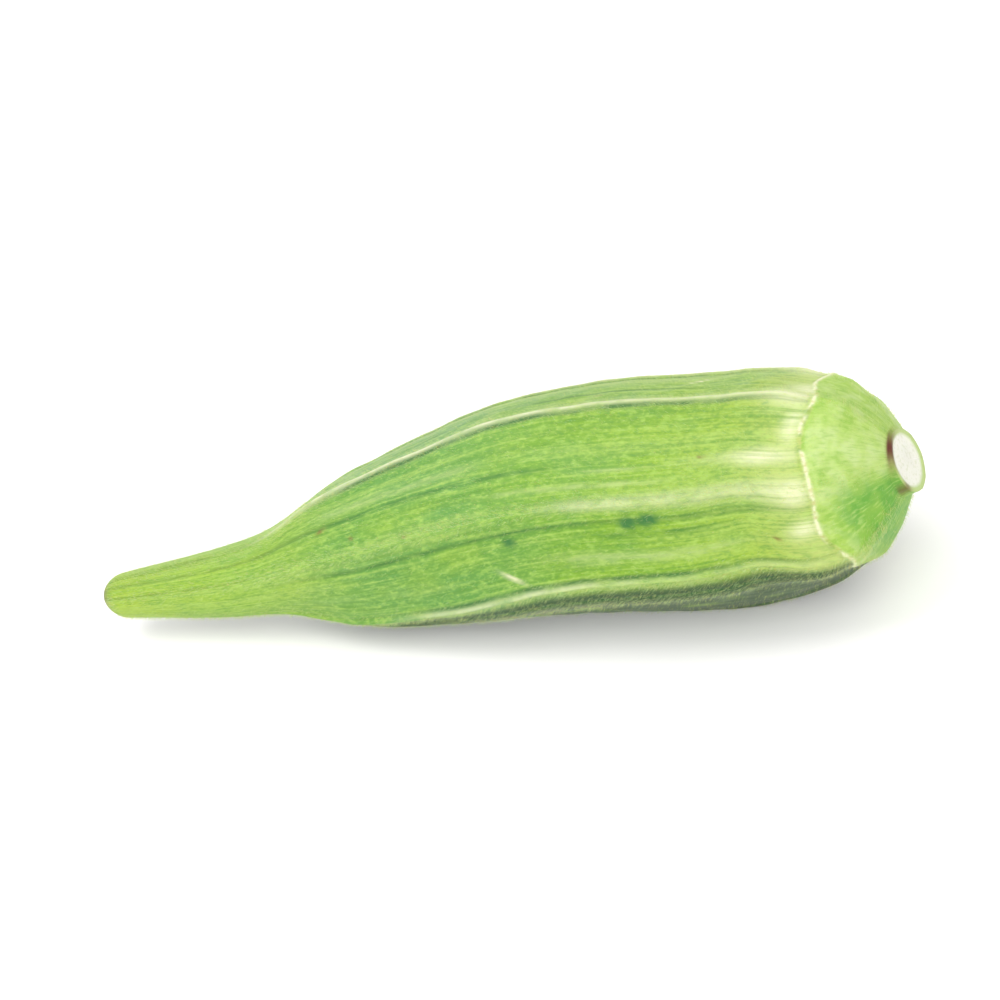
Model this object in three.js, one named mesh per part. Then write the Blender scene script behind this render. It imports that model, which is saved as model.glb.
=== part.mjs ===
// A picked okra pod, lying on a flat surface.
//
// The pod grew as one piece, so it is one solid: a slender beak that flares into a ridged body, a thin scar
// ring where the calyx dropped off, a dome-shaped cap, and a short stem stub with a slanting cut. The ridges
// run the whole way from the beak to the scar. They are unevenly spaced and of uneven height.
//
// Frame: millimetres, +Z up, the beak towards -X and the stem towards +X. The origin is the centre of the
// pod's footprint on the surface. An angle round the pod is 0 at the front, -Y, and 90 at the top.
import * as THREE from "three";

// Lengths along the pod, counted from the end of the beak.
const LENGTH = 82;
const BEAK_ROUNDING = 2.2;
const FLARE_START = 13;
const FLARE_END = 26;
const RIDGES_RISE_FROM = 15;
const RIDGES_RISEN_AT = 24;
const BELLY_AT = 57;
const TURN_START = 68;
const SHOULDER_START = 67;
const RIDGES_FADE_FROM = 71.5;
const SCAR_AT = 74.9;
const STUB_START = 81.2;

// Radii, from the middle line to the faces between ridges, and how fast they change along the pod.
const BEAK_RADIUS = 1.9;
const BEAK_WIDENING = 0.11;
const BELLY_RADIUS = 10.95;
const BELLY_CURVE = 115;
const SHOULDER_DROP = 0.8;
const STUB_RADIUS = 3.3;
const CUT_RADIUS = 2.8;
const CAP_LEAN = 1.5;
const CAP_FULLNESS = 1.2;

// Each ridge: its angle on the belly, how far it turns by the beak and by the scar, its height and half width.
const RIDGES = [
  { angle: 132, byBeak: 2, byScar: -3, height: 0.3, width: 0.6 },
  { angle: 89, byBeak: -10, byScar: -3, height: 0.42, width: 0.5 },
  { angle: 53, byBeak: 0, byScar: -5, height: 0.1, width: 0.6 },
  { angle: 35, byBeak: -9, byScar: -8, height: 0.28, width: 0.7 },
  { angle: -5, byBeak: -40, byScar: -17, height: 0.4, width: 0.5 },
  { angle: -20, byBeak: -46, byScar: -14, height: 0.26, width: 0.5 },
  { angle: -72, byBeak: -22, byScar: -6, height: 0.3, width: 0.6 },
  { angle: -108, byBeak: -14, byScar: -3, height: 0.34, width: 0.6 },
  { angle: -150, byBeak: -8, byScar: -3, height: 0.3, width: 0.6 },
  { angle: -190, byBeak: -2, byScar: -3, height: 0.36, width: 0.6 },
];
const CORNER_HEIGHT = 0.2;
const FACE_FLATNESS = 0.6;
const BEAK_SHARE = 0.25;
const SCAR_FADE = 0.8;
const GROOVE_SHARE = 0.4;
const GROOVE_OFFSET = 2.2;
const SCAR_HEIGHT = 0.24;
const SCAR_WIDTH = 0.3;

// The ridges reach on towards the stem at the scar, so the scar ring is scalloped.
const SCALLOP = 4;
const SCALLOP_WIDTH = 2.4;
const SCALLOP_LEAST = 0.1;

// The middle line bows back between these places, rises and sags, and climbs to the slanting cut.
const BOW_START = 14;
const BOW_END = 86;
const BOW_BACK = 2.2;
const WAVES = [
  { place: 12.5, length: 8.5, rise: -0.5 },
  { place: 23.5, length: 4, rise: 0.25 },
  { place: 36, length: 12, rise: 0.5 },
  { place: 63, length: 10, rise: -1 },
];
const STEM_RISE_START = 70;
const STEM_RISE = 0.3;
const CUT_SLANT = 0.16;

// The pod lies beak down by this many degrees, on a flat spot worn this deep under its weight.
const REST_PITCH = 6.8;
const REST_DEPTH = 0.35;

const radians = THREE.MathUtils.degToRad;
const smoothstep = THREE.MathUtils.smoothstep;
const wrap = THREE.MathUtils.euclideanModulo;
const bell = (distance, width) => Math.exp(-((distance / width) ** 2));

// Distance from the middle line to the faces, at a place s along the pod.
function outline(s) {
  if (s > STUB_START) {
    return THREE.MathUtils.mapLinear(s, STUB_START, LENGTH, STUB_RADIUS, CUT_RADIUS);
  }
  if (s > SCAR_AT) {
    const share = (s - SCAR_AT) / (STUB_START - SCAR_AT);
    const dome = (1 - share ** CAP_LEAN) ** (1 / CAP_FULLNESS);
    return THREE.MathUtils.lerp(STUB_RADIUS, outline(SCAR_AT), dome);
  }
  const beak = BEAK_RADIUS + BEAK_WIDENING * s;
  const belly = BELLY_RADIUS - (s - BELLY_AT) ** 2 / (2 * BELLY_CURVE);
  const radius = THREE.MathUtils.lerp(beak, belly, smoothstep(s, FLARE_START, FLARE_END));
  const nose = Math.sqrt(1 - (1 - Math.min(s / BEAK_ROUNDING, 1)) ** 2);
  return nose * radius - SHOULDER_DROP * smoothstep(s, SHOULDER_START, SCAR_AT) ** 2;
}

// A ridge's angle at a place along the pod.
function ridgeAngle(ridge, s) {
  const toBeak = 1 - smoothstep(s, FLARE_START, BELLY_AT);
  return ridge.angle + ridge.byBeak * toBeak + ridge.byScar * smoothstep(s, TURN_START, SCAR_AT);
}

// Distance round the skin from a ridge, on the pod's outline at a place along it.
function fromRidge(ridge, s, angle) {
  const turned = wrap(angle - ridgeAngle(ridge, s) + 180, 360) - 180;
  return radians(turned) * outline(s);
}

// How far the ridges and the faces between them stand out at a place along the pod: little on the beak.
function ridgeRise(s) {
  return THREE.MathUtils.lerp(BEAK_SHARE, 1, smoothstep(s, RIDGES_RISE_FROM, RIDGES_RISEN_AT));
}

// The share of the outline that is left at an angle, where the faces between two tall ridges flatten.
function faceShare(s, angle) {
  const corners = RIDGES.filter((ridge) => ridge.height > CORNER_HEIGHT).map((ridge) => ridgeAngle(ridge, s));
  const after = Math.min(...corners.map((corner) => wrap(corner - angle, 360)));
  const before = Math.min(...corners.map((corner) => wrap(angle - corner, 360)));
  const half = (after + before) / 2;
  const flat = Math.cos(radians(half)) / Math.cos(radians(half - Math.min(after, before)));
  const left = 1 - SCAR_FADE * smoothstep(s, RIDGES_FADE_FROM, LENGTH);
  return 1 - FACE_FLATNESS * ridgeRise(s) * left * (1 - flat);
}

// Height of the ridges above the faces, with a groove along both sides of each.
function relief(s, angle) {
  const left = 1 - SCAR_FADE * smoothstep(s, RIDGES_FADE_FROM, SCAR_AT);
  const slender = Math.min(outline(s) / BELLY_RADIUS + 0.25, 1);
  let height = 0;
  for (const ridge of RIDGES) {
    const away = Math.abs(fromRidge(ridge, s, angle));
    const width = ridge.width * slender;
    height += ridge.height * slender * bell(away, width);
    height -= ridge.height * slender * GROOVE_SHARE * bell(away - GROOVE_OFFSET * width, width);
  }
  return height * smoothstep(s, 0, FLARE_START) * ridgeRise(s) * left;
}

// How far the skin near the scar is drawn on towards the stem by the ridges.
function scallop(s, angle) {
  const fade = smoothstep(s, SHOULDER_START, SCAR_AT) * (1 - smoothstep(s, SCAR_AT, STUB_START));
  const lifts = RIDGES.map((ridge) => {
    const away = fromRidge(ridge, SCAR_AT, angle);
    return (ridge.height - SCALLOP_LEAST) * bell(away, SCALLOP_WIDTH);
  });
  return SCALLOP * fade * lifts.reduce((sum, lift) => sum + lift, 0);
}

// A point of the skin in the pod's own frame, before it is laid down.
function skin(s, angle) {
  const scar = SCAR_HEIGHT * bell(s - SCAR_AT, SCAR_WIDTH);
  const radius = outline(s) * faceShare(s, angle) + relief(s, angle) + scar;
  const along = THREE.MathUtils.clamp((s - BOW_START) / (BOW_END - BOW_START), 0, 1);
  const bow = Math.sin(Math.PI * along) ** 2;
  const waves = WAVES.reduce((sum, wave) => sum + wave.rise * bell(s - wave.place, wave.length), 0);
  const rise = waves + STEM_RISE * smoothstep(s, STEM_RISE_START, LENGTH);
  const out = radians(angle);
  const cut = smoothstep(s, STUB_START, LENGTH) * CUT_SLANT * radius * Math.sin(out);
  const y = BOW_BACK * bow - radius * Math.cos(out);
  return new THREE.Vector3(s - cut + scallop(s, angle), y, rise + radius * Math.sin(out));
}

// Places along the pod for the rings of points. The two round ends take theirs as on a quarter circle.
function ringPlaces() {
  const even = (share) => share;
  const slowStart = (share) => 1 - Math.cos((share * Math.PI) / 2);
  const slowEnd = (share) => Math.sin((share * Math.PI) / 2);
  const stretches = [
    [0, BEAK_ROUNDING, 4, slowStart],
    [BEAK_ROUNDING, FLARE_START, 4, even],
    [FLARE_START, FLARE_END, 14, even],
    [FLARE_END, SHOULDER_START, 17, even],
    [SHOULDER_START, SCAR_AT - 0.7, 4, even],
    [SCAR_AT - 0.7, SCAR_AT + 0.7, 6, even],
    [SCAR_AT + 0.7, STUB_START, 8, slowEnd],
    [STUB_START, LENGTH, 1, even],
  ];
  const places = stretches.flatMap(([from, to, steps, easing]) =>
    Array.from({ length: steps }, (_, i) => THREE.MathUtils.lerp(from, to, easing(i / steps))),
  );
  return [...places.slice(1), LENGTH];
}

// Angles round the pod at one place: on each ridge, and at these shares of the gap to the next one.
const GAP_SHARES = [0, 0.12, 0.3, 0.5, 0.7, 0.88];
function ringAngles(s) {
  return RIDGES.flatMap((ridge, i) => {
    const here = ridgeAngle(ridge, s);
    const gap = wrap(here - ridgeAngle(RIDGES[(i + 1) % RIDGES.length], s), 360);
    return GAP_SHARES.map((share) => here - gap * share);
  });
}

// The closed skin: rings of points, with a point at the end of the beak and one in the middle of the cut.
function podGeometry() {
  const rings = ringPlaces().map((s) => ringAngles(s).map((angle) => skin(s, angle)));
  const round = rings[0].length;
  const points = [skin(0, 0), ...rings.flat(), new THREE.Vector3(LENGTH, 0, STEM_RISE)];
  const last = points.length - 1;
  const faces = [];
  for (let i = 0; i < round; i++) {
    const next = (i + 1) % round;
    faces.push(0, 1 + next, 1 + i);
    for (let ring = 0; ring < rings.length - 1; ring++) {
      const here = 1 + ring * round;
      const above = here + round;
      faces.push(here + i, here + next, above + next, here + i, above + next, above + i);
    }
    faces.push(last, last - round + i, last - round + next);
  }
  layDown(points);
  const geometry = new THREE.BufferGeometry().setFromPoints(points).setIndex(faces);
  geometry.computeVertexNormals();
  return geometry;
}

// Tips the pod onto its belly, flattens what would sink into the surface, and centres it on the origin.
function layDown(points) {
  const pitch = new THREE.Matrix4().makeRotationY(radians(-REST_PITCH));
  points.forEach((point) => point.applyMatrix4(pitch));
  const box = new THREE.Box3().setFromPoints(points);
  const middle = box.getCenter(new THREE.Vector3());
  for (const point of points) {
    point.x -= middle.x;
    point.y -= middle.y;
    point.z = Math.max(point.z - box.min.z - REST_DEPTH, 0);
  }
}

const skinMaterial = new THREE.MeshStandardMaterial({ color: 0x8fbf4a, roughness: 0.6, metalness: 0 });
const pod = new THREE.Mesh(podGeometry(), skinMaterial);
pod.name = "okra_pod";

const okra = new THREE.Group();
okra.add(pod);
export default okra;
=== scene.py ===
import bpy
import numpy as np
from mathutils import Matrix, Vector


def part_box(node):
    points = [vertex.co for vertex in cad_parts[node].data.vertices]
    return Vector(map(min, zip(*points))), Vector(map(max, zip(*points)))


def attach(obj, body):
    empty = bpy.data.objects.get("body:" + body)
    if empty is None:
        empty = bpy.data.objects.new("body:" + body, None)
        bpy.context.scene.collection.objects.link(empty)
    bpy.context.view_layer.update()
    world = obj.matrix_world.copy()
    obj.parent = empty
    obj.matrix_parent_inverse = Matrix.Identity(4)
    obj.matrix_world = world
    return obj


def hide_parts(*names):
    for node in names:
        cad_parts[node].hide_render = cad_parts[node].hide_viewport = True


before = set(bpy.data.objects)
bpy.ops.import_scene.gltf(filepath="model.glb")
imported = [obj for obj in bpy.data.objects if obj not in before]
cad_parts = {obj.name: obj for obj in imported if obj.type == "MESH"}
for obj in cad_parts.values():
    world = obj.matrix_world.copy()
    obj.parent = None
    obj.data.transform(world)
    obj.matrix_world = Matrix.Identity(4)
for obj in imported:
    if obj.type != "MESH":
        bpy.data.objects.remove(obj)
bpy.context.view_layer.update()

# The pod.
# The real one is living plant: a smooth, slightly waxy green skin over seed chambers, drawn up into ridges.
# It grew from a flower, whose calyx left the scar ring, and it was picked with a slanting cut of the stem.
MM = 0.001
LENGTH = 82.0
BEAK_ROUNDING = 2.2
FLARE_START = 13.0
FLARE_END = 26.0
RIDGES_RISE_FROM = 15.0
RIDGES_RISEN_AT = 24.0
BELLY_AT = 57.0
TURN_START = 68.0
SHOULDER_START = 67.0
RIDGES_FADE_FROM = 71.5
SCAR_AT = 74.9
STUB_START = 81.2

BEAK_RADIUS = 1.9
BEAK_WIDENING = 0.11
BELLY_RADIUS = 10.95
BELLY_CURVE = 115.0
SHOULDER_DROP = 0.8
STUB_RADIUS = 3.3
CUT_RADIUS = 2.8
CAP_LEAN = 1.5
CAP_FULLNESS = 1.2

# Each ridge: angle on the belly, turn by the beak and by the scar, height, half width, how far beside it its
# groove runs, from where along the pod the groove is painted dark as shade and the crest is pale, and how
# pale. A groove whose painted shade would start only from 90, past the stem, is never painted dark.
RIDGES = np.array([
    (132, 2, -3, 0.30, 0.6, -0.6, 22, 20, 0.80),
    (89, -10, -3, 0.42, 0.5, -0.35, 22, 15, 0.95),
    (53, 0, -5, 0.10, 0.6, 0.6, 90, 60, 0.35),
    (35, -9, -8, 0.28, 0.7, -1.6, 17, 46, 0.52),
    (-5, -40, -17, 0.40, 0.5, 0.5, 30, 28, 0.55),
    (-20, -46, -14, 0.26, 0.5, 0.6, 32, 30, 0.50),
    (-72, -22, -6, 0.30, 0.6, 0.6, 26, 26, 0.70),
    (-108, -14, -3, 0.34, 0.6, -0.6, 22, 22, 0.70),
    (-150, -8, -3, 0.30, 0.6, -0.6, 18, 20, 0.70),
    (-190, -2, -3, 0.36, 0.6, 0.6, 18, 18, 0.80),
], dtype=float)
HEIGHT, WIDTH, GROOVE, CREASE_SHADE_FROM, PALE_FROM, PALENESS = RIDGES.T[3:]
COUNT = len(RIDGES)
CORNER_HEIGHT = 0.2
FACE_FLATNESS = 0.6
SCAR_FADE = 0.8
BEAK_SHARE = 0.25
CREST_SPREAD = 1.3
CREST_ROUNDING = 0.3
CREASE_DEPTH = 0.15
CREASE_WIDTH = 0.2
NARROWING = 0.25
END_HEIGHT = 0.22
END_WIDTH = 1.9
END_LENGTH = 1.7
END_BEFORE_SCAR = 2.4
SCAR_HEIGHT = 0.14
SCAR_WIDTH = 0.34
SCAR_EVEN = 0.7
SCAR_MOST = 1.3

# Smooth unevenness: height, length along the pod, most turns round it, and seed.
SEED_LUMPS = (0.03, 4.6, 16, 3)
SOFT_LUMPS = (0.09, 17, 5, 4)
CAP_PLEATS = (0.04, 30, 14, 5)
CAP_LUMPS = (0.06, 3, 6, 6)
SCAR_WANDER = (0.16, 30, 9, 7)
SCAR_TEARS = (0.45, 9, 13, 8)

BOW_START = 14.0
BOW_END = 86.0
BOW_BACK = 2.2
STEM_RISE_START = 70.0
STEM_RISE = 0.3
SCALLOP = 4.0
SCALLOP_WIDTH = 2.4
SCALLOP_LEAST = 0.1
CUT_SLANT = 0.16
CUT_RIM = 0.12
CUT_RIM_WIDTH = 0.25
CUT_SINK = 0.16
CUT_SWELL = 0.1
REST_PITCH = 6.8

# Rises and sags of the middle line: place, length and height.
WAVES = [(12.5, 8.5, -0.5), (23.5, 4.0, 0.25), (36.0, 12.0, 0.5), (63.0, 10.0, -1.0)]


def smoothstep(x, low, high):
    """Nought below low, one above high, and 3tt - 2ttt of the share t of the way between them."""
    t = np.clip((x - low) / (high - low), 0, 1)
    return t * t * (3 - 2 * t)


def bell(distance, width):
    """The exponential of minus the square of distance over width."""
    return np.exp(-((distance / width) ** 2))


def wrap(angle):
    """The angle brought between -180 and 180 degrees."""
    return (angle + 180) % 360 - 180


def ripple(s, angle, length, rounds, seed, waves=9):
    """A smooth unevenness: a sum of sine waves of s and the angle, with seeded phases, whole turns round the
    pod so that it closes, and wave lengths near the one given. It lies mostly between -1 and 1."""
    rng = np.random.default_rng(seed)
    total = 0
    for _ in range(waves):
        along = 2 * np.pi / (length * rng.uniform(0.7, 1.6))
        turns = rng.integers(0, rounds + 1) * rng.choice([-1, 1])
        total = total + np.sin(along * s + turns * np.radians(angle) + rng.uniform(0, 2 * np.pi))
    return total / np.sqrt(waves)


def lumps(row, s, angle):
    """A ripple times its height, by a row of height, length, most turns and seed."""
    height, length, rounds, seed = row
    return height * ripple(s, angle, length, rounds, seed)


def outline(s):
    """Radius of the faces: a straight beak blended into a parabola for the belly, rounded as a quarter
    circle at the nose. Past the scar it is a superellipse down to the stem stub, and the stub tapers to its
    cut."""
    beak = BEAK_RADIUS + BEAK_WIDENING * s
    belly = BELLY_RADIUS - (s - BELLY_AT) ** 2 / (2 * BELLY_CURVE)
    blended = beak + (belly - beak) * smoothstep(s, FLARE_START, FLARE_END)
    nose = np.sqrt(1 - (1 - np.clip(s / BEAK_ROUNDING, 0, 1)) ** 2)
    body = nose * blended - SHOULDER_DROP * smoothstep(s, SHOULDER_START, SCAR_AT) ** 2
    at_scar = BELLY_RADIUS - (SCAR_AT - BELLY_AT) ** 2 / (2 * BELLY_CURVE) - SHOULDER_DROP
    share = np.clip((s - SCAR_AT) / (STUB_START - SCAR_AT), 0, 1)
    cap = STUB_RADIUS + (at_scar - STUB_RADIUS) * (1 - share ** CAP_LEAN) ** (1 / CAP_FULLNESS)
    stub = STUB_RADIUS + (CUT_RADIUS - STUB_RADIUS) * (s - STUB_START) / (LENGTH - STUB_START)
    return np.where(s > STUB_START, stub, np.where(s > SCAR_AT, cap, body))


def ridge_angles(s):
    """The angle of every ridge at s, one layer for each: as on the belly, turned by smooth steps to the beak
    and to the scar."""
    angle, by_beak, by_scar = (column.reshape((COUNT,) + (1,) * np.ndim(s)) for column in RIDGES.T[:3])
    to_beak = 1 - smoothstep(s, FLARE_START, BELLY_AT)
    return angle + by_beak * to_beak + by_scar * smoothstep(s, TURN_START, SCAR_AT)


def angle_of(s, turn):
    """The angle of a grid line. Line i + f runs at the share f of the gap from ridge i to ridge i + 1."""
    s, turn = np.broadcast_arrays(s, turn)
    ridge = np.floor(turn).astype(int) % COUNT
    after = (ridge + 1) % COUNT
    angles = ridge_angles(s)
    here = np.take_along_axis(angles, ridge[None], axis=0)[0]
    there = np.take_along_axis(angles, after[None], axis=0)[0] - 360 * (after == 0)
    return here + (there - here) * (turn - np.floor(turn))


def from_ridges(s, angle):
    """Signed distances in millimetres round the skin from every ridge, one layer for each."""
    return np.radians(wrap(angle - ridge_angles(s + 0 * angle))) * outline(s)


def ridge_rise(s):
    """How far the ridges and the faces between them stand out: little on the beak, then fully, by a step."""
    return BEAK_SHARE + (1 - BEAK_SHARE) * smoothstep(s, RIDGES_RISE_FROM, RIDGES_RISEN_AT)


def face_share(s, angle):
    """What is left of the radius where a face between two tall ridges flattens: a mix of one and the chord
    between the ridges, which is cos(half the gap) over cos(the angle from its middle)."""
    corner = ridge_angles(s + 0 * angle)[HEIGHT > CORNER_HEIGHT]
    after = ((corner - angle) % 360).min(axis=0)
    before = ((angle - corner) % 360).min(axis=0)
    half = (after + before) / 2
    flat = np.cos(np.radians(half)) / np.cos(np.radians(half - np.minimum(after, before)))
    left = 1 - SCAR_FADE * smoothstep(s, RIDGES_FADE_FROM, LENGTH)
    return 1 - FACE_FLATNESS * ridge_rise(s) * left * (1 - flat)


def slender(s):
    """How far the ridges are narrowed with the pod, from about 0.4 on the beak to 1 on the belly."""
    return np.minimum(outline(s) / BELLY_RADIUS + NARROWING, 1)


def grown(s):
    """How much height the ridges have: none at the beak end, and little again at the scar."""
    left = 1 - SCAR_FADE * smoothstep(s, RIDGES_FADE_FROM, SCAR_AT)
    return smoothstep(s, 0, FLARE_START) * ridge_rise(s) * left


def relief(s, angle):
    """Height above the faces: each ridge falls off exponentially on both sides of a rounded crest, like a
    fold, with a narrow crease on its dark side. Ridges end in low swellings at the scar, and soft lumps lie
    over the seeds."""
    shape = (COUNT,) + (1,) * np.ndim(angle)
    height, width, groove = (column.reshape(shape) for column in (HEIGHT, WIDTH, GROOVE))
    away = from_ridges(s, angle)
    narrow = slender(s)
    wide = width * narrow
    rounding = CREST_ROUNDING * wide
    crest = np.exp((rounding - np.hypot(away, rounding)) / (CREST_SPREAD * wide))
    crease = CREASE_DEPTH * bell(away - groove * narrow, CREASE_WIDTH * narrow)
    ridges = (height * narrow * crest - crease * (height > CORNER_HEIGHT) * narrow).sum(axis=0) * grown(s)
    on_body = smoothstep(s, FLARE_START, FLARE_END) * (1 - smoothstep(s, SCAR_AT - 2, SCAR_AT))
    ends = (END_HEIGHT * bell(away, END_WIDTH) * (height > CORNER_HEIGHT)).sum(axis=0)
    ends = ends * bell(s - SCAR_AT + END_BEFORE_SCAR, END_LENGTH)
    seeds = lumps(SEED_LUMPS, s, angle) + lumps(SOFT_LUMPS, s, angle)
    on_cap = smoothstep(s, SCAR_AT, SCAR_AT + 1.5) * (1 - smoothstep(s, STUB_START - 0.3, STUB_START))
    pleats = lumps(CAP_PLEATS, 0 * s, angle) + lumps(CAP_LUMPS, s, angle)
    return ridges + ends + seeds * on_body + pleats * on_cap


def scallop(s, angle):
    """How far the skin round the scar reaches on towards the stem at the ridges: a bell for each, by its
    height, fading over the shoulder and the cap."""
    across = np.radians(wrap(angle - ridge_angles(SCAR_AT + 0 * angle))) * outline(SCAR_AT)
    lift = (HEIGHT - SCALLOP_LEAST).reshape((COUNT,) + (1,) * np.ndim(angle))
    fade = smoothstep(s, SHOULDER_START, SCAR_AT) * (1 - smoothstep(s, SCAR_AT, STUB_START))
    return SCALLOP * (lift * bell(across, SCALLOP_WIDTH)).sum(axis=0) * fade


def scar_place(angle):
    """Where the scar ring runs: not quite straight round, as the calyx tore off it unevenly."""
    return SCAR_AT + lumps(SCAR_WANDER, 0 * angle, angle)


def skin(s, turn, inward=1.0):
    """A point of the pod in millimetres, in its own frame: the radius at s and turn, round a middle line
    that bows back as a squared sine, rises and sags in bells, and climbs by a step to the stem. Inward below
    one gives a point of the cut face, nearer its middle, where the pith is sunk in its rim."""
    angle = angle_of(s, turn)
    torn = np.clip(SCAR_EVEN + lumps(SCAR_TEARS, 0 * s, angle), 0, SCAR_MOST)
    scar = SCAR_HEIGHT * torn * bell(s - scar_place(angle), SCAR_WIDTH)
    rim = CUT_RIM * bell(s - LENGTH, CUT_RIM_WIDTH)
    radius = (outline(s) * face_share(s, angle) + relief(s, angle) + scar + rim) * inward
    bow = np.sin(np.pi * np.clip((s - BOW_START) / (BOW_END - BOW_START), 0, 1)) ** 2
    rise = sum(height * bell(s - place, length) for place, length, height in WAVES)
    rise = rise + STEM_RISE * smoothstep(s, STEM_RISE_START, LENGTH)
    out = np.radians(angle)
    cut = smoothstep(s, STUB_START, LENGTH) * CUT_SLANT * radius * np.sin(out)
    sunk = CUT_SINK * smoothstep(1 - inward, 0, 0.25) - CUT_SWELL * smoothstep(1 - inward, 0.5, 0.9)
    x = s - cut - sunk * (s >= LENGTH) + scallop(s, angle)
    y = BOW_BACK * bow - radius * np.cos(out)
    z = rise + radius * np.sin(out)
    return np.stack(np.broadcast_arrays(x, y, z), axis=-1)


def laid_down(points, at):
    """Pod-frame millimetres turned beak down by the rest pitch, then moved by at, in scene metres. What
    would sink into the table is pressed flat against it."""
    pitch = np.radians(REST_PITCH)
    x = points[..., 0] * np.cos(pitch) - points[..., 2] * np.sin(pitch)
    z = points[..., 0] * np.sin(pitch) + points[..., 2] * np.cos(pitch)
    placed = np.stack([x, points[..., 1], z], axis=-1) * MM + at
    placed[..., 2] = np.maximum(placed[..., 2], 0)
    return placed


# Grid lines: close together at the nose, the scar, the stub and beside every ridge. A stretch has its first
# and last place along the pod, its number of lines, and how they are spread.
SCAR_MARGIN = 0.8
STRETCHES = [
    (0.0, BEAK_ROUNDING, 12, lambda t: 1 - np.cos(t * np.pi / 2)),
    (BEAK_ROUNDING, FLARE_START, 22, lambda t: t),
    (FLARE_START, FLARE_END, 62, lambda t: t),
    (FLARE_END, SHOULDER_START, 96, lambda t: t),
    (SHOULDER_START, SCAR_AT - SCAR_MARGIN, 14, lambda t: t),
    (SCAR_AT - SCAR_MARGIN, SCAR_AT + SCAR_MARGIN, 20, lambda t: t),
    (SCAR_AT + SCAR_MARGIN, STUB_START, 26, lambda t: np.sin(t * np.pi / 2)),
    (STUB_START, LENGTH, 6, lambda t: t),
]
CUT_RINGS = 9
LINES_PER_GAP = 33
CROWDING = 0.72
places = np.concatenate([low + (high - low) * ease(np.arange(n) / n) for low, high, n, ease in STRETCHES])
rows = np.append(places[1:], np.full(CUT_RINGS, LENGTH))
inward = np.append(np.ones(len(places) - 1), 1 - np.arange(CUT_RINGS) / CUT_RINGS)
even = np.arange(COUNT * LINES_PER_GAP) / LINES_PER_GAP
turns = even - CROWDING * np.sin(2 * np.pi * even) / (2 * np.pi)

grid = skin(rows[:, None], turns[None, :], inward[:, None])
ends = np.array([[0, 0, 0], grid[-1].mean(axis=0)])
local = np.vstack([grid.reshape(-1, 3), ends])

# The beak end and the middle of the cut close the grid. The pod then sits where its solid does: its box is
# taken clear of the table, and its top and middle are brought to the solid's.
CLEAR = 1.0
low, high = (np.array(corner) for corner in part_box("okra_pod"))
tipped = laid_down(local, np.array([0.0, 0.0, CLEAR]))
own_low, own_high = tipped.min(axis=0), tipped.max(axis=0)
at = np.append(((low + high) / 2 - (own_low + own_high) / 2)[:2], high[2] - own_high[2] + CLEAR)
points = laid_down(local, at)

round_pod = len(turns)
first = np.arange(len(rows) - 1)[:, None] * round_pod
here = np.arange(round_pod)[None, :]
after = (here + 1) % round_pod
onward = first + round_pod
quads = np.stack([first + here, first + after, onward + after, onward + here], axis=-1)
beak_end, cut_middle = len(local) - 2, len(local) - 1
last = (len(rows) - 1) * round_pod
fans = [(beak_end, int(b), int(a)) for a, b in zip(here[0], after[0])]
fans += [(cut_middle, int(last + a), int(last + b)) for a, b in zip(here[0], after[0])]

mesh = bpy.data.meshes.new("okra_skin")
mesh.from_pydata(points.tolist(), [], quads.reshape(-1, 4).tolist() + fans)
mesh.polygons.foreach_set("use_smooth", np.ones(len(mesh.polygons), dtype=bool))
pod = bpy.data.objects.new("okra_skin", mesh)
bpy.context.scene.collection.objects.link(pod)

# Lines of colour with no relief, over bundles of fibres: angle, first and last s, and half width. Each fades
# in and out over the same length.
VEIN_FADE = 8.0
DARK_VEINS = [
    (56, 14, 54, 0.25), (19.5, 50, 70, 0.24), (107, 30, 66, 0.2), (168, 28, 60, 0.24), (-130, 26, 64, 0.24),
]
OLIVE_VEINS = [
    (57, -8, 30, 0.2), (30, -8, 20, 0.16), (84, -8, 22, 0.3), (140, -8, 22, 0.2), (-60, -8, 22, 0.2),
]
PALE_VEINS = [
    (65, 22, 46, 0.5), (52.5, 50, 64, 0.2), (45, 40, 66, 0.3), (8, 46, 72, 0.6),
    (125, 22, 68, 0.7), (148, 40, 72, 0.8), (-170, 34, 70, 0.7), (-52, 40, 70, 0.6),
]

# Marks on the skin: s and angle of the middle, half length, half width, and the turn of the length, in
# degrees.
SMUDGES = [
    (57.7, 25.6, 0.75, 0.5, 6), (59.6, 26.6, 0.85, 0.5, 10), (45.6, 19.9, 0.5, 0.42, 0),
    (33.0, -30, 0.35, 0.3, 0), (52.0, 171, 0.8, 0.45, 0), (33.0, -128, 0.5, 0.4, 0),
]
SCRATCHES = [(44.6, -1.6, 1.05, 0.22, -35), (63.0, 118, 1.1, 0.16, 30), (38.0, -160, 0.8, 0.16, -20)]
BROWN_SPECKS = [
    (26.0, 53.5, 0.45, 0.2, 25), (78.0, 5.5, 0.30, 0.25, 0), (65.4, 55.8, 0.28, 0.16, 0),
    (35.5, 33, 0.22, 0.16, 0), (29.4, 41, 0.20, 0.20, 0), (71.0, 4, 0.24, 0.2, 0),
    (54.0, 103, 0.30, 0.16, 10), (47.0, 150, 0.25, 0.2, 0), (68.0, -150, 0.3, 0.2, 0),
]
# Pale patches by the scar, partly pale skin and partly painted highlight, in the same columns.
PALE_PATCHES = [
    (71.2, 51.8, 2.3, 0.8, 0), (73.6, 70, 0.9, 1.7, 0), (73.3, 28, 1.3, 1.2, 0), (73.6, 4, 1.3, 0.9, 0),
    (74.3, 99, 1.4, 1.3, 0), (73.6, 160, 2.2, 1.3, 0), (74.0, -110, 2.0, 1.6, 0),
]


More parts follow.
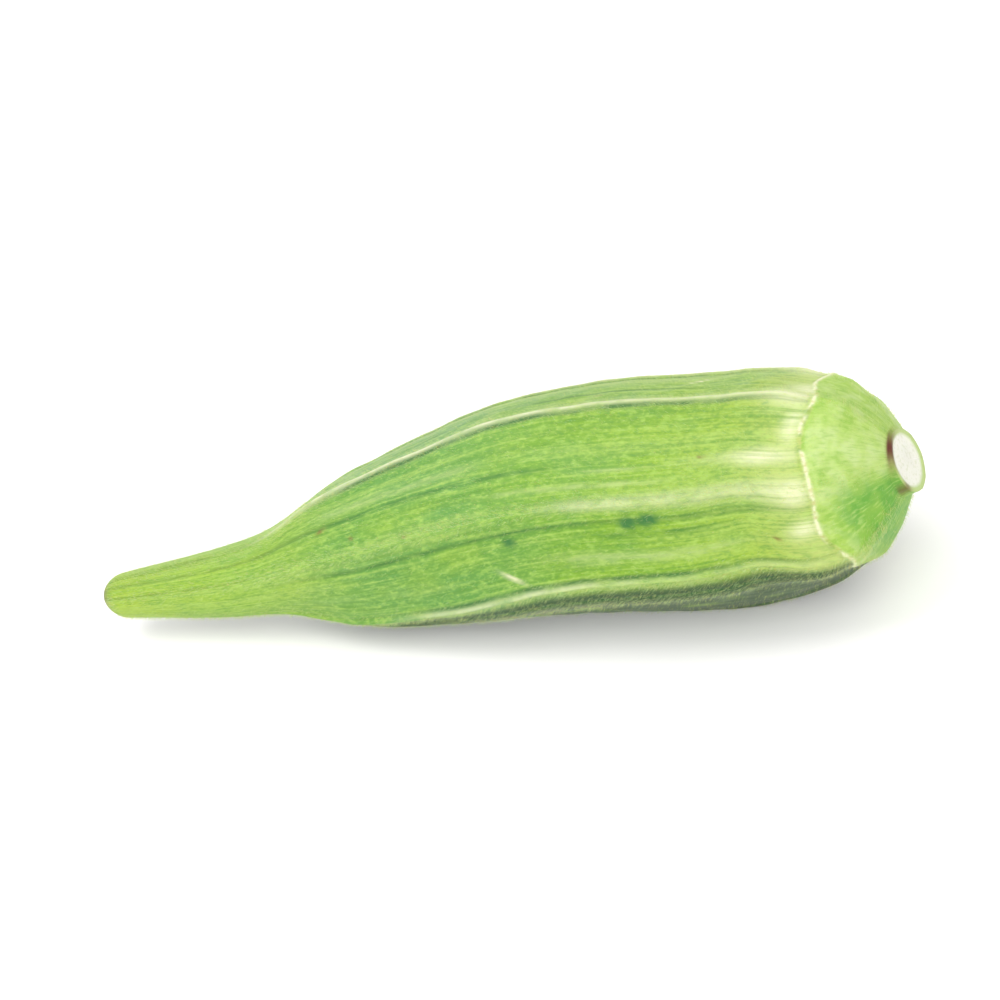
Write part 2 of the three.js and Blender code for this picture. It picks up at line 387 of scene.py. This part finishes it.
def veins(lines, s, angle):
    """The strongest of some lines along the pod: a bell across each, fading in and out over its ends."""
    strongest = 0 * s
    for at_angle, first, last, half_width in lines:
        across = np.radians(wrap(angle - at_angle)) * outline(s)
        length = smoothstep(s, first, first + VEIN_FADE) * (1 - smoothstep(s, last - VEIN_FADE, last))
        strongest = np.maximum(strongest, bell(across, half_width) * length)
    return strongest


def spots(blots, s, angle):
    """The strongest of some marks: each a bell along its half length times a bell across its half width."""
    strongest = 0 * s
    for middle, at_angle, half_length, half_width, turned in blots:
        ahead, beside = s - middle, np.radians(wrap(angle - at_angle)) * outline(s)
        cosine, sine = np.cos(np.radians(turned)), np.sin(np.radians(turned))
        along, across = ahead * cosine + beside * sine, beside * cosine - ahead * sine
        strongest = np.maximum(strongest, bell(along, half_length) * bell(across, half_width))
    return strongest


# What the skin's colours follow is worked out here for every point, and its finish reads it by name. First
# come the point's place, the turn of the fibres' grain, and how far the skin there faces up.
FACES_UP = (-0.1, 0.35)
BODY_ENDS = (SCAR_AT - 0.9, SCAR_AT - 0.2)
s_all = np.append(np.repeat(rows, round_pod), [0, LENGTH])
turn_all = np.append(np.tile(turns, len(rows)), [0, 0])
inward_all = np.append(np.repeat(inward, round_pod), [1, 0])
angle_all = angle_of(s_all, turn_all)
butt_angle = np.radians(angle_of(np.full_like(s_all, LENGTH), turn_all))
sine_all = np.sin(np.radians(angle_all))
away_all = from_ridges(s_all, angle_all)
narrow_all = slender(s_all)
body_all = 1 - smoothstep(s_all, *BODY_ENDS)
upward = smoothstep(sine_all, *FACES_UP)

# A ridge's pale crest and the painted shade in its crease come in over the same length, and both weaken
# towards the scar. Crests lie a little to one side, and are widest where they face up, and near the scar on
# the wide ridges. Their paleness is partly the ridges' own colour and partly painted highlight, which widens
# them and keeps them strongest where the skin faces up.
MARK_FADE = 10
CREST_OFFSET = 0.14
CREST_WIDTH = 0.30
CREST_WIDER_ABOVE = 0.14
CREST_BROADENING = 2.4
CREST_BROADENS_FROM = 44
NARROWEST_RIDGE = 0.5
CRESTS_WEAKEN = (46, 64)
CREST_LOSS = 0.3
CREST_LOSS_BELOW = 0.35
CREASES_WEAKEN = (62, 74)
CREASE_LOSS = 0.5
TALL = 0.36
TALLEST_SHARE = 1.1
wider = (WIDTH - NARROWEST_RIDGE)[:, None]
broader = CREST_BROADENING * wider * smoothstep(s_all, CREST_BROADENS_FROM, SCAR_AT)
crest_width = CREST_WIDTH + CREST_WIDER_ABOVE * upward + broader * upward
paled = smoothstep(s_all, PALE_FROM[:, None], PALE_FROM[:, None] + MARK_FADE)
crests = PALENESS[:, None] * paled * bell(away_all - CREST_OFFSET, crest_width * narrow_all)
crest_left = 1 - smoothstep(s_all, *CRESTS_WEAKEN) * (CREST_LOSS + CREST_LOSS_BELOW * (1 - upward))
tall = np.clip(HEIGHT / TALL, 0, TALLEST_SHARE)[:, None]
darkened = smoothstep(s_all, CREASE_SHADE_FROM[:, None], CREASE_SHADE_FROM[:, None] + MARK_FADE)
crease_left = 1 - CREASE_LOSS * smoothstep(s_all, *CREASES_WEAKEN)
crease_shades = bell(away_all - GROOVE[:, None] * narrow_all, CREASE_WIDTH * narrow_all)
crease_shades = np.minimum(tall, 1) * darkened * crease_left * crease_shades

# The swellings that end the ridges at the scar are pale where they face up: a painted highlight.
PALE_END_WIDTH = 1.5
PALE_END_LENGTH = 2.0
PALE_END_BEFORE_SCAR = 2.0
PALE_END_SHARE = 0.6
ridge_end_highlight = (tall * bell(away_all, PALE_END_WIDTH)).max(axis=0)
ridge_end_highlight = ridge_end_highlight * bell(s_all - SCAR_AT + PALE_END_BEFORE_SCAR, PALE_END_LENGTH) * body_all * upward

# Painted shade on the underside: it begins below the front ridge, the fifth, and behind the pod it begins
# lower.
FRONT_RIDGE = 4
BELOW_RIDGE = (0.3, 1.8)
BELOW_BEHIND = (0, 0.6)
back_underside_shade = smoothstep(-sine_all, *BELOW_BEHIND)
underside_shade = smoothstep(-away_all[FRONT_RIDGE], *BELOW_RIDGE)
underside_shade = underside_shade * np.where(np.cos(np.radians(angle_all)) > 0, 1, back_underside_shade)

# The cut has dried brown along two stretches of its edge: a long one above and a short, weaker one below.
DRIED_FROM = LENGTH - 0.9
DRIED_AT = LENGTH - 0.6
PITH_BEGINS = (0.14, 0.24)
cut_rim = smoothstep(s_all, DRIED_FROM, DRIED_AT) * (1 - smoothstep(1 - inward_all, *PITH_BEGINS))
dried = np.maximum(bell(wrap(angle_all - 62), 38), 0.7 * bell(wrap(angle_all + 22), 14))

marks = {
    "along": s_all,
    # Crests fade into the painted underside shade.
    "crest": crests.max(axis=0) * (body_all * (1 - 0.5 * underside_shade) * crest_left),
    # Painted shade in the creases beside the tall ridges.
    "crease": crease_shades.max(axis=0) * body_all,
    "dark_vein": veins(DARK_VEINS, s_all, angle_all),
    "pale_vein": veins(PALE_VEINS, s_all, angle_all),
    "olive_vein": veins(OLIVE_VEINS, s_all, angle_all),
    "smudge": np.minimum(2 * spots(SMUDGES, s_all, angle_all), 1),
    "scratch": spots(SCRATCHES, s_all, angle_all),
    "speck": spots(BROWN_SPECKS, s_all, angle_all),
    "near_scar": smoothstep(s_all, SHOULDER_START + 3, SCAR_AT) * body_all,
    # Pale ridge ends by the scar: partly pale skin, partly painted highlight.
    "pale_end_and_highlight": np.maximum(PALE_END_SHARE * ridge_end_highlight, spots(PALE_PATCHES, s_all, angle_all)),
    # Painted shade on the underside.
    "underside_shade": underside_shade,
    "beak_end": bell(s_all, 0.9),
    "scar": bell(s_all - scar_place(angle_all), 0.24),
    "cap": smoothstep(s_all, SCAR_AT - 0.1, SCAR_AT + 0.2),
    "cap_pale": smoothstep(s_all, SCAR_AT, SCAR_AT + 0.6) * bell(wrap(angle_all - 48), 34),
    # Painted shade on the lower side of the cap.
    "cap_shade": smoothstep(s_all, SCAR_AT + 0.3, STUB_START - 2.5) * smoothstep(
        np.sin(np.radians(24 - angle_all)), -0.15, 0.3),
    "cut_edge": cut_rim * dried,
    "cut": smoothstep(s_all, LENGTH - 0.12, LENGTH),
    "pith": smoothstep(1 - inward_all, 0.10, 0.24),
}
for name, values in marks.items():
    layer = mesh.attributes.new(name, "FLOAT", "POINT")
    layer.data.foreach_set("value", values.astype(np.float32))
grain = np.stack([s_all, BELLY_RADIUS * np.cos(butt_angle), BELLY_RADIUS * np.sin(butt_angle)], axis=-1)
layer = mesh.attributes.new("grain", "FLOAT_VECTOR", "POINT")
layer.data.foreach_set("vector", grain.astype(np.float32).ravel())


def paint(code):
    """An sRGB hex colour as the linear red, green, blue and alpha that shaders take."""
    channels = np.array([int(code[i:i + 2], 16) for i in (0, 2, 4)]) / 255
    linear = np.where(channels <= 0.04045, channels / 12.92, ((channels + 0.055) / 1.055) ** 2.4)
    return (*linear.tolist(), 1.0)


def add(tree, kind, inputs=None, **settings):
    """Adds one node, makes its settings, and fills each named input with a value or a link."""
    node = tree.nodes.new(kind)
    for name, value in settings.items():
        setattr(node, name, value)
    for name, value in (inputs or {}).items():
        if isinstance(value, bpy.types.NodeSocket):
            tree.links.new(value, node.inputs[name])
        else:
            node.inputs[name].default_value = value
    return node


# Fresh okra skin: smooth living epidermis with a thin wax bloom, so a broad satin gloss and a little light
# through it. Fibres under it show as fine streaks that run with the ridges.
skin_finish = bpy.data.materials.new("fresh_okra_skin")
skin_finish.use_nodes = True
tree = skin_finish.node_tree
shader = tree.nodes["Principled BSDF"]
shader.inputs["IOR"].default_value = 1.42
shader.inputs["Specular IOR Level"].default_value = 0.4
shader.inputs["Subsurface Weight"].default_value = 0.1
shader.inputs["Subsurface Radius"].default_value = (0.7, 1.2, 0.3)
shader.inputs["Subsurface Scale"].default_value = MM
shader.inputs["Sheen Weight"].default_value = 0.05
shader.inputs["Sheen Roughness"].default_value = 0.45
shader.inputs["Sheen Tint"].default_value = paint("F2F7DC")

read = {name: add(tree, "ShaderNodeAttribute", attribute_name=name).outputs["Fac"] for name in marks}
read["body"] = add(tree, "ShaderNodeMath", {0: 1.0, 1: read["cap"]}, operation="SUBTRACT").outputs["Value"]
grain_place = add(tree, "ShaderNodeAttribute", attribute_name="grain").outputs["Vector"]

# Streaks: each noise is stretched to these millimetres along and across the fibres.
STREAKS = {
    "broad": (30.0, 2.2, 2.0),
    "fibre": (11.0, 0.32, 3.0),
    "dash": (2.6, 0.8, 2.0),
    "patch": (8.0, 5.0, 3.0),
    "fleck": (0.9, 0.5, 3.0),
    "cell": (0.34, 0.26, 1.0),
}
noise = {}
for name, (along, across_mm, detail) in STREAKS.items():
    stretched = add(tree, "ShaderNodeMapping", {
        "Vector": grain_place, "Scale": (1 / along, 1 / across_mm, 1 / across_mm)})
    noise[name] = add(tree, "ShaderNodeTexNoise", {
        "Vector": stretched.outputs["Vector"], "Scale": 1.0, "Detail": detail}).outputs["Fac"]

# Two more that have no direction, over the cap and the cut.
for name, across_mm in (("mottle", 1.6), ("pore", 0.35)):
    noise[name] = add(tree, "ShaderNodeTexNoise", {
        "Vector": add(tree, "ShaderNodeTexCoord").outputs["Object"], "Scale": 1 / (across_mm * MM),
        "Detail": 3.0}).outputs["Fac"]

# Green along the pod, by millimetres from the beak: yellow-green beak, cooler green where the pod swells, a
# warm green belly, and paler again towards the scar.
TONES = [(3, "98B032"), (14, "88AA3E"), (22, "7B9F3A"), (30, "5A8E3B"), (40, "598D3C"), (50, "6C9724"),
         (60, "779D21"), (68, "89A634"), (74, "A6B25F")]
tone = add(tree, "ShaderNodeValToRGB", {"Fac": add(tree, "ShaderNodeMapRange", {
    "Value": read["along"], "From Min": 0.0, "From Max": LENGTH}).outputs["Result"]})
while len(tone.color_ramp.elements) < len(TONES):
    tone.color_ramp.elements.new(0.5)
for element, (place, code) in zip(tone.color_ramp.elements, TONES):
    element.position = place / LENGTH
    element.color = paint(code)
colour = tone.outputs["Color"]

# Layers of colour, each as strong as its mark times how far its noise stands above a level: colour, mark,
# noise, the noise's level at the start and in full, and the greatest strength. The body comes first, then
# the marks on it, the paler cap, the corky cream scar, and the cut: white pith, a green rim, a brown edge.
LAYERS = [
    ("5A8E40", "body", "patch", 0.50, 0.68, 0.50),
    ("90AE2C", "body", "patch", 0.48, 0.30, 0.50),
    ("94AF54", "body", "broad", 0.52, 0.72, 0.55),
    ("678F2A", "body", "broad", 0.48, 0.30, 0.50),
    ("98B552", "body", "fibre", 0.52, 0.68, 0.55),
    ("5A8628", "body", "fibre", 0.48, 0.33, 0.55),
    ("9ABB56", "body", "fleck", 0.52, 0.68, 0.50),
    ("56872E", "body", "fleck", 0.48, 0.32, 0.50),
    ("A0BD52", "body", "cell", 0.55, 0.75, 0.35),
    ("568434", "body", "cell", 0.45, 0.25, 0.35),
    ("A4B674", "pale_vein", "dash", 0.25, 0.60, 0.60),
    ("3D7029", "dark_vein", "dash", 0.28, 0.58, 0.90),
    ("AFC36E", "near_scar", "patch", 0.20, 0.60, 0.60),
    # Painted shade: the underside darkened as if shaded.
    ("2D4629", "underside_shade", "patch", 0.05, 0.35, 0.95),
    # Pale ridge crests: partly the ridges' own colour, partly painted highlight where they face up.
    ("D8D6B6", "crest", "dash", 0.14, 0.52, 1.00),
    ("AE9779", "crest", "fleck", 0.60, 0.72, 0.35),
    # Painted shade in the creases.
    ("306128", "crease", "dash", 0.20, 0.58, 0.92),
    # Pale ridge ends: partly pale skin, partly painted highlight.
    ("D8DAB2", "pale_end_and_highlight", "fibre", 0.12, 0.54, 0.82),
    ("688726", "olive_vein", "dash", 0.30, 0.60, 0.85),
    ("30682F", "smudge", "fleck", 0.05, 0.40, 0.95),
    ("D8D3AF", "scratch", "fleck", 0.10, 0.30, 0.95),
    ("6F502A", "speck", "fleck", 0.30, 0.45, 0.80),
    ("67592A", "beak_end", "fleck", 0.15, 0.50, 0.90),
    ("95B54A", "cap", "patch", 0.00, 0.01, 1.00),
    ("ABC077", "cap", "mottle", 0.48, 0.62, 0.60),
    ("79A336", "cap", "mottle", 0.46, 0.32, 0.60),
    ("B3C682", "cap_pale", "mottle", 0.20, 0.60, 0.80),
    # Painted shade on the lower side of the cap.
    ("4F9228", "cap_shade", "mottle", 0.16, 0.56, 0.90),
    ("B4CB72", "cap", "fleck", 0.52, 0.68, 0.42),
    ("729D38", "cap", "fleck", 0.48, 0.32, 0.36),
    ("D6D8B0", "scar", "mottle", 0.36, 0.52, 0.95),
    ("A99A5C", "scar", "fleck", 0.50, 0.64, 0.50),
    ("ABBF75", "cut", "patch", 0.00, 0.01, 1.00),
    ("DDDDD0", "pith", "patch", 0.00, 0.01, 1.00),
    ("BEC49E", "pith", "pore", 0.50, 0.66, 0.45),
    ("5A2C1C", "cut_edge", "fleck", 0.10, 0.35, 1.00),
]
for code, mark, streak, start, full, strength in LAYERS:
    level = add(tree, "ShaderNodeMapRange", {
        "Value": noise[streak], "From Min": start, "From Max": full, "To Max": strength})
    amount = add(tree, "ShaderNodeMath", {0: level.outputs["Result"], 1: read[mark]}, operation="MULTIPLY")
    colour = add(tree, "ShaderNodeMixRGB", {
        "Fac": amount.outputs["Value"], "Color1": colour, "Color2": paint(code)}).outputs["Color"]
tree.links.new(colour, shader.inputs["Base Color"])

# The gloss varies with the wax bloom, and relief too fine for the mesh is bump: fibres, the pores that the
# hairs stand in, and the skin's cells, drawn coarser than they are so that they show.
bloom = add(tree, "ShaderNodeMapRange", {
    "Value": noise["dash"], "From Min": 0.3, "From Max": 0.7, "To Min": 0.42, "To Max": 0.58})
tree.links.new(bloom.outputs["Result"], shader.inputs["Roughness"])
BUMP_STRENGTH = 0.4
normal = None
for streak, height in (("fibre", 0.10), ("fleck", 0.06), ("cell", 0.03)):
    bump = add(tree, "ShaderNodeBump", {
        "Height": noise[streak], "Distance": height * MM, "Strength": BUMP_STRENGTH})
    if normal:
        tree.links.new(normal, bump.inputs["Normal"])
    normal = bump.outputs["Normal"]
tree.links.new(normal, shader.inputs["Normal"])
mesh.materials.append(skin_finish)

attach(pod, "root")
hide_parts("okra_pod")

# The down.
# The skin is covered in short, stiff, colourless hairs, thickest along the ridges. Each is a closed
# three-sided spike that stands out of the skin and leans towards the beak. Hairs are drawn thicker and fewer
# than they are, so that they show.
HAIRS = 42000
TRIES_PER_HAIR = 4
HAIRS_ON_FACES = 0.12
HAIRY_HALF_WIDTH = 0.8
HAIR_LENGTH = 0.34
HAIR_RADIUS = 0.012
HAIR_ROOT = 0.03
HAIR_LEAN = 0.8

rng = np.random.default_rng(11)
tries = HAIRS * TRIES_PER_HAIR
s_hair = rng.uniform(1.0, STUB_START, tries)
turn_hair = rng.uniform(0, COUNT, tries)
angle_hair = angle_of(s_hair, turn_hair)
on_ridges = bell(from_ridges(s_hair, angle_hair), HAIRY_HALF_WIDTH) * (HEIGHT > CORNER_HEIGHT)[:, None]
share = HAIRS_ON_FACES + (1 - HAIRS_ON_FACES) * on_ridges.max(axis=0)
wanted = outline(s_hair) / BELLY_RADIUS * share
kept = np.flatnonzero(rng.uniform(0, 1, tries) < wanted)[:HAIRS]
s_hair, turn_hair = s_hair[kept], turn_hair[kept]

# Small steps along the pod and round it give the direction out of the skin at each root.
STEP = 0.02
root = skin(s_hair, turn_hair)
forward = skin(s_hair + STEP, turn_hair) - root
sideways = skin(s_hair, turn_hair + STEP / 10) - root
outward = np.cross(forward, sideways)
outward /= np.linalg.norm(outward, axis=1, keepdims=True)
outward *= np.sign((outward * (root - np.array([0, BOW_BACK / 2, 0])))[:, 1:].sum(axis=1))[:, None]
forward /= np.linalg.norm(forward, axis=1, keepdims=True)
sideways = np.cross(outward, forward)

size = HAIR_LENGTH * rng.uniform(0.5, 1.3, len(kept))[:, None]
lean = -HAIR_LEAN * rng.uniform(0.3, 1.5, len(kept))[:, None] * forward
lean = lean + rng.normal(0, 0.25, len(kept))[:, None] * sideways
tip = root + outward * size + lean * size
corners = [
    root - outward * HAIR_ROOT + HAIR_RADIUS * (np.cos(t) * forward + np.sin(t) * sideways)
    for t in np.radians([0, 120, 240])
]
hair_points = laid_down(np.stack(corners + [tip], axis=1), at)
base = np.arange(len(kept))[:, None] * 4
sides = np.array([[0, 1, 3], [1, 2, 3], [2, 0, 3], [0, 2, 1]])
hair_faces = (base[:, :, None] + sides[None, :, :]).reshape(-1, 3)

down_mesh = bpy.data.meshes.new("okra_down")
down_mesh.from_pydata(hair_points.reshape(-1, 3).tolist(), [], hair_faces.tolist())
down = bpy.data.objects.new("okra_down", down_mesh)
bpy.context.scene.collection.objects.link(down)

# Plant hair: clear cell wall, so it is pale and lets light through.
down_finish = bpy.data.materials.new("clear_plant_hair")
down_finish.use_nodes = True
hair_shader = down_finish.node_tree.nodes["Principled BSDF"]
hair_shader.inputs["Base Color"].default_value = paint("B9C980")
hair_shader.inputs["Roughness"].default_value = 0.6
hair_shader.inputs["IOR"].default_value = 1.4
hair_shader.inputs["Subsurface Weight"].default_value = 0.5
hair_shader.inputs["Subsurface Scale"].default_value = 0.2 * MM
down_mesh.materials.append(down_finish)

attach(down, "root")

# The table.
# A seamless sheet of matt white plastic, lit a little from below, wide enough to fill every view.
FLOOR_HALF = 1.5
floor_mesh = bpy.data.meshes.new("white_table")
floor_corners = [(x * FLOOR_HALF, y * FLOOR_HALF, 0) for x, y in ((-1, -1), (1, -1), (1, 1), (-1, 1))]
floor_mesh.from_pydata(floor_corners, [], [(0, 1, 2, 3)])
floor = bpy.data.objects.new("white_table", floor_mesh)
bpy.context.scene.collection.objects.link(floor)
sheet = bpy.data.materials.new("matt_white_plastic")
sheet.use_nodes = True
sheet_shader = sheet.node_tree.nodes["Principled BSDF"]
sheet_shader.inputs["Base Color"].default_value = paint("F6F4F4")
sheet_shader.inputs["Roughness"].default_value = 0.9
sheet_shader.inputs["Emission Color"].default_value = paint("FFFFFF")
sheet_shader.inputs["Emission Strength"].default_value = 0.1
floor_mesh.materials.append(sheet)

# The light.
# A bright white studio: light from all round, one large soft box above the beak's side of the pod, and one
# in front of it.
world = bpy.data.worlds.new("white_studio")
world.use_nodes = True
world.node_tree.nodes["Background"].inputs["Color"].default_value = paint("FFFFFF")
world.node_tree.nodes["Background"].inputs["Strength"].default_value = 1.0
bpy.context.scene.world = world


def soft_box(name, place, size, power):
    """A square area light at a place, turned to face the pod."""
    light = bpy.data.lights.new(name, "AREA")
    light.size = size
    light.energy = power
    lamp = bpy.data.objects.new(name, light)
    bpy.context.scene.collection.objects.link(lamp)
    lamp.location = place
    back = np.array(place) / np.linalg.norm(place)
    side = np.cross([0, 0, 1], back)
    side /= np.linalg.norm(side)
    facing = np.column_stack([side, np.cross(back, side), back])
    lamp.rotation_euler = Matrix(facing.tolist()).to_euler()


soft_box("soft_box_above", (-0.38, -0.05, 0.80), 0.6, 3.4)
soft_box("soft_box_front", (0.20, -0.70, 0.60), 0.7, 3.8)
bpy.context.scene.view_settings.view_transform = "Standard"

# The camera.
# It looks down on the pod, whose stem end is turned towards it, and is rolled so that the pod lies aslant in
# the picture, with the beak low on the left and the stem high on the right.
AZIMUTH = 25.2
ELEVATION = 34.1
SLOPE_IN_PICTURE = 9.82
DISTANCE = 0.7
FRAME_WIDTH = 0.0915
SENSOR = 36.0

azimuth, elevation = np.radians([AZIMUTH, ELEVATION])
level = np.array([np.sin(azimuth), -np.cos(azimuth), 0.0])
back = level * np.cos(elevation) + np.array([0.0, 0.0, np.sin(elevation)])
right = np.array([np.cos(azimuth), np.sin(azimuth), 0.0])
up = np.cross(back, right)
chord = points[cut_middle] - points[beak_end]
roll = np.radians(SLOPE_IN_PICTURE) - np.arctan2(chord @ up, chord @ right)
right, up = (np.cos(roll) * right - np.sin(roll) * up, np.sin(roll) * right + np.cos(roll) * up)

camera_data = bpy.data.cameras.new("camera")
camera_data.sensor_width = SENSOR
camera_data.lens = SENSOR * DISTANCE / FRAME_WIDTH
camera = bpy.data.objects.new("camera", camera_data)
bpy.context.scene.collection.objects.link(camera)
middle = (low + high) / 2
facing = np.column_stack([right, up, back])
camera.location = middle + back * DISTANCE
camera.rotation_euler = Matrix(facing.tolist()).to_euler()
bpy.context.scene.camera = camera
